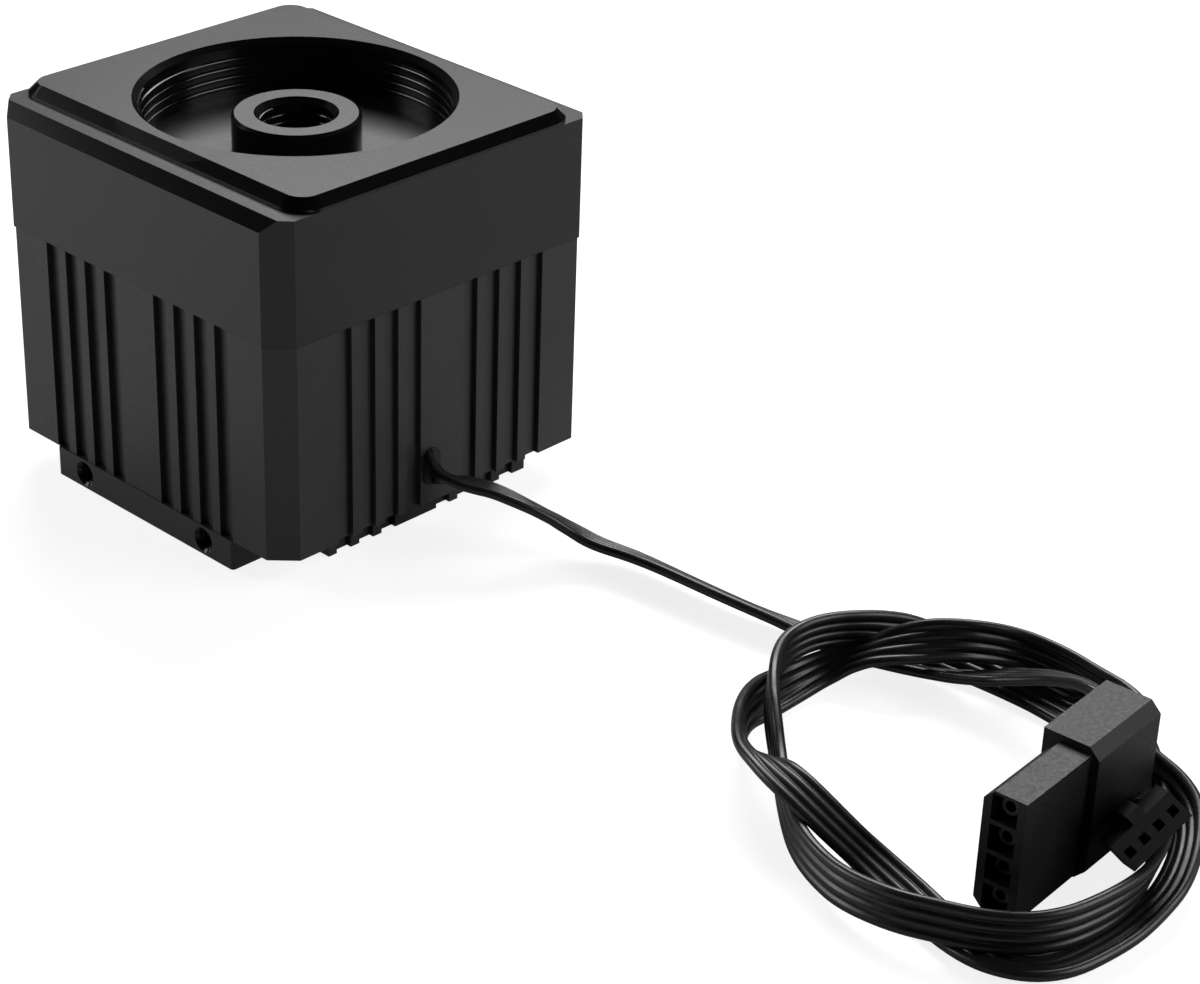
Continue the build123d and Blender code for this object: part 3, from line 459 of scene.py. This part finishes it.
def thread_tree():
    """A helical ridge of diamond section, with its radius, pitch, turns and ridge as inputs."""
    tree = bpy.data.node_groups.new("screw_thread", "GeometryNodeTree")
    face = tree.interface
    face.new_socket("Radius", in_out="INPUT", socket_type="NodeSocketFloat")
    face.new_socket("Pitch", in_out="INPUT", socket_type="NodeSocketFloat")
    face.new_socket("Turns", in_out="INPUT", socket_type="NodeSocketFloat")
    face.new_socket("Ridge", in_out="INPUT", socket_type="NodeSocketFloat")
    face.new_socket("Steps", in_out="INPUT", socket_type="NodeSocketInt")
    face.new_socket("Finish", in_out="INPUT", socket_type="NodeSocketMaterial")
    face.new_socket("Thread", in_out="OUTPUT", socket_type="NodeSocketGeometry")
    given = tree.nodes.new("NodeGroupInput")
    shown = tree.nodes.new("NodeGroupOutput")
    helix = tree.nodes.new("GeometryNodeCurveSpiral")
    height = tree.nodes.new("ShaderNodeMath")
    height.operation = "MULTIPLY"
    diamond = tree.nodes.new("GeometryNodeCurvePrimitiveCircle")
    diamond.inputs["Resolution"].default_value = 4
    sweep = tree.nodes.new("GeometryNodeCurveToMesh")
    sweep.inputs["Fill Caps"].default_value = True
    solid = tree.nodes.new("GeometryNodeRealizeInstances")
    dress = tree.nodes.new("GeometryNodeSetMaterial")
    join = tree.links.new
    join(given.outputs["Pitch"], height.inputs[0])
    join(given.outputs["Turns"], height.inputs[1])
    join(given.outputs["Steps"], helix.inputs["Resolution"])
    join(given.outputs["Turns"], helix.inputs["Rotations"])
    join(given.outputs["Radius"], helix.inputs["Start Radius"])
    join(given.outputs["Radius"], helix.inputs["End Radius"])
    join(height.outputs[0], helix.inputs["Height"])
    join(given.outputs["Ridge"], diamond.inputs["Radius"])
    join(helix.outputs["Curve"], sweep.inputs["Curve"])
    join(diamond.outputs["Curve"], sweep.inputs["Profile Curve"])
    join(sweep.outputs["Mesh"], solid.inputs["Geometry"])
    join(solid.outputs["Geometry"], dress.inputs["Geometry"])
    join(given.outputs["Finish"], dress.inputs["Material"])
    join(dress.outputs["Geometry"], shown.inputs["Thread"])
    return tree


def grow(name, tree, places, sizes):
    """One piece from a node tree, put in each of its places, with the modifier worked into its mesh."""
    made = bpy.data.objects.new(name, bpy.data.meshes.new(name))
    scene.collection.objects.link(made)
    build = made.modifiers.new("build", "NODES")
    build.node_group = tree
    for socket in tree.interface.items_tree:
        if socket.in_out == "INPUT":
            build[socket.identifier] = sizes[socket.name]
    view = bpy.context.evaluated_depsgraph_get()
    one = bpy.data.meshes.new_from_object(made.evaluated_get(view))
    made.modifiers.clear()
    merged = bmesh.new()
    for place in places:
        copy = one.copy()
        copy.transform(place)
        merged.from_mesh(copy)
        bpy.data.meshes.remove(copy)
    bmesh.ops.recalc_face_normals(merged, faces=merged.faces)
    merged.to_mesh(one)
    merged.free()
    made.data = one
    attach(made, "pump")
    return made


def at(x, y, z, turned=None):
    place = Matrix.Translation((x * MM, y * MM, z * MM))
    return place @ turned if turned else place


screw_form = thread_tree()
seat_thread = grow("seat_thread", screw_form, [at(0, 0, 55.5)], {
    "Radius": 24.25 * MM, "Pitch": 1.5 * MM, "Turns": 4.4, "Ridge": 0.5 * MM, "Steps": 96, "Finish": cover_black,
})
port_thread = grow(
    "port_threads", screw_form,
    [at(0, 0, 51.9), at(11.0, 25.2, 50.2, Matrix.Rotation(-math.pi / 2, 4, "X"))],
    {"Radius": 5.78 * MM, "Pitch": 1.337 * MM, "Turns": 5.5, "Ridge": 0.42 * MM, "Steps": 40, "Finish": cover_black},
)
rail_thread = grow(
    "rail_threads", screw_form,
    [at(s * 14.6, -32.6, 3.5, Matrix.Rotation(-math.pi / 2, 4, "X")) for s in (-1, 1)],
    {"Radius": 1.72 * MM, "Pitch": 0.7 * MM, "Turns": 12.0, "Ridge": 0.26 * MM, "Steps": 24, "Finish": rail_black},
)


# Floor, white surround and soft light

floor_mesh = bpy.data.meshes.new("floor")
floor_mesh.from_pydata([(-3, -3, -0.0002), (3, -3, -0.0002), (3, 3, -0.0002), (-3, 3, -0.0002)], [], [(0, 1, 2, 3)])
floor = bpy.data.objects.new("floor", floor_mesh)
scene.collection.objects.link(floor)
pale = bpy.data.materials.new("pale_floor")
pale.use_nodes = True
tree = pale.node_tree
tree.nodes.remove(tree.nodes["Principled BSDF"])
matt = add(tree, "ShaderNodeBsdfDiffuse", Color=(0.46, 0.46, 0.46, 1))
lift = add(tree, "ShaderNodeEmission", Color=(1, 1, 1, 1))
rays = tree.nodes.new("ShaderNodeLightPath")
seen = tree.nodes.new("ShaderNodeMath")
seen.operation = "MAXIMUM"
tree.links.new(rays.outputs["Is Camera Ray"], seen.inputs[0])
tree.links.new(rays.outputs["Is Transmission Ray"], seen.inputs[1])
level = tree.nodes.new("ShaderNodeMath")
level.operation = "MULTIPLY_ADD"
level.inputs[1].default_value = 0.84
spot = tree.nodes.new("ShaderNodeTexCoord").outputs["Object"]
across = tree.nodes.new("ShaderNodeVectorMath")
across.operation = "DOT_PRODUCT"
across.inputs[1].default_value = (-0.8, -0.6, 0)
tree.links.new(spot, across.inputs[0])
sheen = add(tree, "ShaderNodeMapRange", From_Min=-0.15, From_Max=0.16, To_Min=0.0, To_Max=0.30)
tree.links.new(across.outputs["Value"], sheen.inputs["Value"])
gleam = tree.nodes.new("ShaderNodeMath")
gleam.operation = "MULTIPLY"
tree.links.new(rays.outputs["Is Glossy Ray"], gleam.inputs[0])
tree.links.new(sheen.outputs["Result"], gleam.inputs[1])
tree.links.new(seen.outputs[0], level.inputs[0])
tree.links.new(gleam.outputs[0], level.inputs[2])
tree.links.new(level.outputs[0], lift.inputs["Strength"])
both = tree.nodes.new("ShaderNodeAddShader")
tree.links.new(matt.outputs[0], both.inputs[0])
tree.links.new(lift.outputs[0], both.inputs[1])
tree.links.new(both.outputs[0], tree.nodes["Material Output"].inputs["Surface"])
floor_mesh.materials.append(pale)

room = bpy.data.worlds.new("white_room")
scene.world = room
room.use_nodes = True
tree = room.node_tree
glow = tree.nodes["Background"]
rays = tree.nodes.new("ShaderNodeLightPath")
aim = tree.nodes.new("ShaderNodeTexCoord").outputs["Generated"]
behind = tree.nodes.new("ShaderNodeVectorMath")
behind.operation = "DOT_PRODUCT"
behind.inputs[1].default_value = (-math.sin(turn), math.cos(turn), 0)
tree.links.new(aim, behind.inputs[0])
sweep = add(tree, "ShaderNodeMapRange", From_Min=0.25, From_Max=0.7, To_Min=0.14, To_Max=0.98)
tree.links.new(behind.outputs["Value"], sweep.inputs["Value"])
white = tree.nodes.new("ShaderNodeMix")
tree.links.new(rays.outputs["Is Camera Ray"], white.inputs["Factor"])
tree.links.new(sweep.outputs["Result"], white.inputs["A"])
white.inputs["B"].default_value = 1.0
tree.links.new(white.outputs["Result"], glow.inputs["Strength"])


def soft_lamp(name, spot, target, wide, tall, power):
    lamp = bpy.data.lights.new(name, "AREA")
    lamp.shape = "RECTANGLE"
    lamp.size = wide
    lamp.size_y = tall
    lamp.energy = power
    holder = bpy.data.objects.new(name, lamp)
    scene.collection.objects.link(holder)
    holder.location = spot
    holder.rotation_mode = "QUATERNION"
    holder.rotation_quaternion = (Vector(target) - Vector(spot)).to_track_quat("-Z", "Y")


soft_lamp("back_panel", (-0.30, 0.50, 0.62), (0.06, 0.0, 0.0), 0.7, 0.45, 7.0)
soft_lamp("left_panel", (-0.62, -0.45, 0.30), (0.03, 0.0, 0.02), 0.4, 0.35, 2.4)
soft_lamp("right_panel", (0.66, 0.34, 0.40), (0.04, 0.0, 0.02), 0.5, 0.5, 2.8)

scene.view_settings.view_transform = "Standard"
